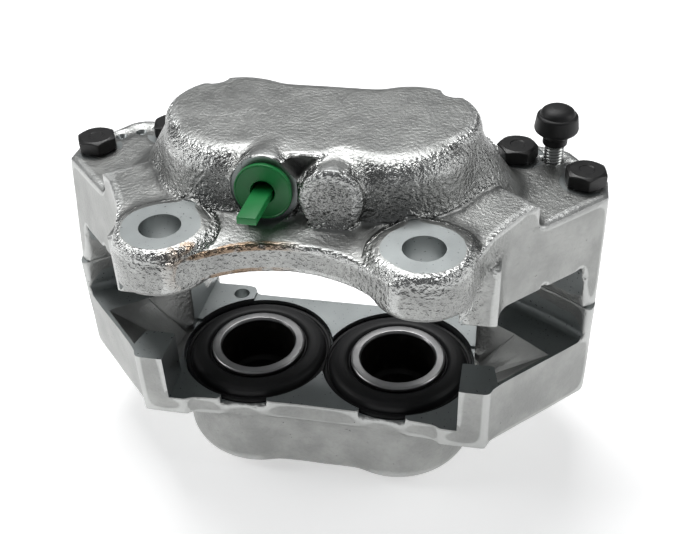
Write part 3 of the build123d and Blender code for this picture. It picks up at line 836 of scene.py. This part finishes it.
def threaded_screw():
    """Screw turned about its own axis, with a helical thread worked out from angle and height."""
    x, y = middle("bleed_screw").xy
    low, high = (corner.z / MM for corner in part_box("bleed_screw"))
    thread_top = high - 13.2
    profile = [(SCREW_BORE_R, low), (1.8, low), (THREAD_R - THREAD_DEPTH, low + 2.2)]
    rows = int((thread_top - low - SEAT_CONE) / (THREAD_PITCH / 8))
    step = (thread_top - low - SEAT_CONE) / rows
    profile += [(None, low + SEAT_CONE + i * step) for i in range(rows + 1)]
    profile += [(3.2, thread_top + 0.2), (4.0, thread_top + 0.5), (4.0, thread_top + 2.6),
                (3.5, thread_top + 3.0), (3.5, high - 5.8), (2.2, high - 5.6), (2.2, high - 4.4),
                (3.0, high - 3.8), (2.4, high - 2.2), (2.4, high - 0.3), (2.1, high), (SCREW_BORE_R, high)]
    bm = bmesh.new()
    segments = 64
    rings = []
    for r, z in profile:
        ring = []
        for i in range(segments):
            radius = r
            if r is None:
                phase = (z / THREAD_PITCH - i / segments) % 1.0
                radius = THREAD_R - THREAD_DEPTH * min(1.0, max(0.0, abs(2 * phase - 1) * 1.5 - 0.25))
            a = 2 * math.pi * i / segments
            ring.append(bm.verts.new((x + radius * math.cos(a), y + radius * math.sin(a), z)))
        rings.append(ring)
    for lower, upper in zip(rings, rings[1:] + rings[:1]):
        for i in range(segments):
            j = (i + 1) % segments
            bm.faces.new((lower[i], lower[j], upper[j], upper[i]))
    made = to_object("bleed_screw_turned", bm, [bleed_finish()], MM)
    mark_edges(made, 40)
    return made


def bleed_finish():
    """Bright zinc on turned steel."""
    material, build, shader = new_finish("bleed_steel", {"Metallic": 1.0})
    at = build.node("ShaderNodeTexCoord", output="Object")
    cloud = build.noise(at, 0.003, 3.0)
    tone = build.blend(cloud, (0.38, 0.39, 0.38), BLEED_STEEL)
    connect(build, shader, {"Base Color": tone, "Roughness": 0.22 + 0.14 * cloud})
    return material


screw = threaded_screw()
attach(screw, "bleed_screw")
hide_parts("bleed_screw")

CAP_BLACK = (0.006, 0.006, 0.0063)
cap_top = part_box("bleed_screw_cap")[1].z / MM
cap_outline = softened([(0, 0), (2.6, 0.1), (4.6, 0.65), (5.9, 1.5), (6.5, 2.5), (6.6, 3.2), (7.3, 3.3),
                        (7.75, 3.8), (7.85, 4.6), (8.4, 8.8), (8.1, 9.7), (5.0, 12.3), (4.7, 12.7),
                        (4.7, 15.2), (4.4, 15.6), (4.05, 15.6), (4.05, 3.4), (3.6, 2.8), (0, 2.8)], 0.6)
cap = turned("bleed_cap", cap_outline, (*middle("bleed_screw_cap").xy, cap_top), 1,
             [rubber_finish("cap_rubber", CAP_BLACK, 0.42)])
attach(cap, "bleed_screw_cap")
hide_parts("bleed_screw_cap")

# ---- Inlet port plug ----------------------------------------------------------------------------
# A green moulded plug keeps dirt out of the fluid inlet until the pipe is fitted. Its hollow stem is
# pushed into the port, a double flange seals the seat, and it is pulled out by a flat tab.
PLUG_GREEN = (0.006, 0.16, 0.035)
FLANGE_R = 10.1
STEM_R = 4.95
PULL_TAB = (6.6, 2.9, 23.0)
TAB_ROOT = 7.5
TAB_TAPER = 0.9


def plug_finish():
    """Green polyethylene: waxy, slightly translucent looking, paler where it was stressed."""
    material, build, shader = new_finish("green_plastic", {"Metallic": 0.0, "Roughness": 0.36,
                                                           "Specular IOR Level": 0.5})
    at = build.node("ShaderNodeTexCoord", output="Object")
    cloud = build.noise(at, 0.006, 3.0)
    tone = build.blend(cloud, PLUG_GREEN, (0.012, 0.24, 0.06))
    bump = build.node("ShaderNodeBump", {}, {"Strength": 0.3, "Distance": 0.00008,
                                             "Height": build.noise(at, 0.0016, 2.0)}, "Normal")
    connect(build, shader, {"Base Color": tone, "Normal": bump})
    return material


def port_plug():
    """Flanges, stem and pull tab, made on the port's axis and tipped into place."""
    rim = softened([(4.3, 3.4), (4.3, 2.9), (4.9, 2.9), (9.4, 2.9), (9.6, 3.2), (FLANGE_R - 0.15, 3.2),
                    (FLANGE_R, 3.0), (FLANGE_R, 1.9), (FLANGE_R - 0.3, 1.7), (9.0, 1.6), (9.0, 1.2),
                    (9.5, 1.1), (9.7, 0.9), (9.7, 0.3), (9.5, 0.1), (STEM_R, 0.1), (STEM_R, -8.6),
                    (4.6, -9.0), (3.9, -9.0), (3.9, 2.2), (4.3, 2.9)], 0.2)
    plug = turned("port_plug", rim[:-1], (0, 0, 0), -1, [])
    plug.data.transform(Matrix.Scale(1 / MM, 4))
    bm = bmesh.new()
    wide, thick, long = PULL_TAB
    bmesh.ops.create_cube(bm, size=1.0)
    bmesh.ops.scale(bm, vec=(wide, thick, long + TAB_ROOT), verts=bm.verts)
    bmesh.ops.translate(bm, vec=(0, -0.4, (long - TAB_ROOT) / 2), verts=bm.verts)
    for v in bm.verts:
        if v.co.z > 0:
            v.co.y *= TAB_TAPER
    bmesh.ops.bevel(bm, geom=bm.edges[:], offset=0.35, segments=3, affect="EDGES", profile=0.5)
    tab = to_object("tab", bm)
    join = plug.modifiers.new("join", "BOOLEAN")
    join.operation = "UNION"
    join.solver = "EXACT"
    join.object = tab
    bake_down(plug)
    bpy.data.objects.remove(tab)
    tilt = Matrix.Rotation(math.radians(90 - PORT_TILT), 4, "X")
    plug.data.transform(Matrix.Scale(MM, 4) @ Matrix.Translation(PORT) @ tilt)
    plug.data.materials.append(plug_finish())
    mark_edges(plug, 35)
    return plug


plug = port_plug()
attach(plug, "inlet_port_plug")
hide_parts("inlet_port_plug")

# ---- Studio floor and lights --------------------------------------------------------------------
# The caliper lies on a wide white floor that glows faintly, in a dim and slightly blue surround. One
# large soft light hangs over it and a smaller one stands at each side.
FLOOR_SIZE = 6.0
FLOOR_GAP = 0.0005
FLOOR_WHITE = (0.95, 0.95, 0.95, 1)
SURROUND = (0.9, 0.92, 0.95, 1)
AIM = (0, 0.03, -0.05)

bm = bmesh.new()
bmesh.ops.create_grid(bm, x_segments=1, y_segments=1, size=FLOOR_SIZE)
floor = to_object("studio_floor", bm)
floor.data.transform(Matrix.Translation((0, 0, cad_box[0][2] - FLOOR_GAP)))
white = new_finish("white_floor", {"Base Color": FLOOR_WHITE, "Roughness": 0.9,
                                   "Emission Color": (1, 1, 1, 1), "Emission Strength": 0.48})[0]
floor.data.materials.append(white)


def softbox(name, place, size, power):
    """A rectangular soft light that looks at the caliper."""
    lamp = bpy.data.lights.new(name, "AREA")
    lamp.shape = "RECTANGLE"
    lamp.size, lamp.size_y = size
    lamp.energy = power
    obj = bpy.data.objects.new(name, lamp)
    obj.location = place
    obj.rotation_euler = (Vector(AIM) - Vector(place)).to_track_quat("-Z", "Y").to_euler()
    bpy.context.scene.collection.objects.link(obj)


softbox("overhead_box", (-0.2, 0.5, 1.0), (0.8, 0.45), 10)
softbox("left_box", (-0.95, -0.1, 0.45), (0.4, 0.7), 3.5)
softbox("right_box", (0.95, 0.1, 0.45), (0.4, 0.6), 2.5)
world = bpy.data.worlds.new("studio")
bpy.context.scene.world = world
world.use_nodes = True
sky = world.node_tree.nodes["Background"]
sky.inputs["Color"].default_value = SURROUND
sky.inputs["Strength"].default_value = 0.14
bpy.context.scene.view_settings.view_transform = "Standard"

# ---- Camera -------------------------------------------------------------------------------------
# A standard lens close to the caliper, in front of the mounting lugs and above them. Its place is in
# metres and its three angles are in radians.
YAW, PITCH, ROLL = -0.207821598, 0.637831018, -0.0356533696
EYE_AT = (0.07273, -0.24995, 0.17931)
LENS = 49.637
forward = Vector((math.sin(YAW) * math.cos(PITCH), math.cos(YAW) * math.cos(PITCH), -math.sin(PITCH)))
right = Vector((math.cos(YAW), -math.sin(YAW), 0))
up = right.cross(forward)
right, up = (math.cos(ROLL) * right + math.sin(ROLL) * up, math.cos(ROLL) * up - math.sin(ROLL) * right)
camera = bpy.data.cameras.new("view")
camera.lens = LENS
camera.sensor_width = 36
eye = bpy.data.objects.new("view", camera)
turn = Matrix((right, up, -forward)).transposed().to_4x4()
eye.matrix_world = Matrix.Translation(EYE_AT) @ turn
bpy.context.scene.collection.objects.link(eye)
bpy.context.scene.camera = eye
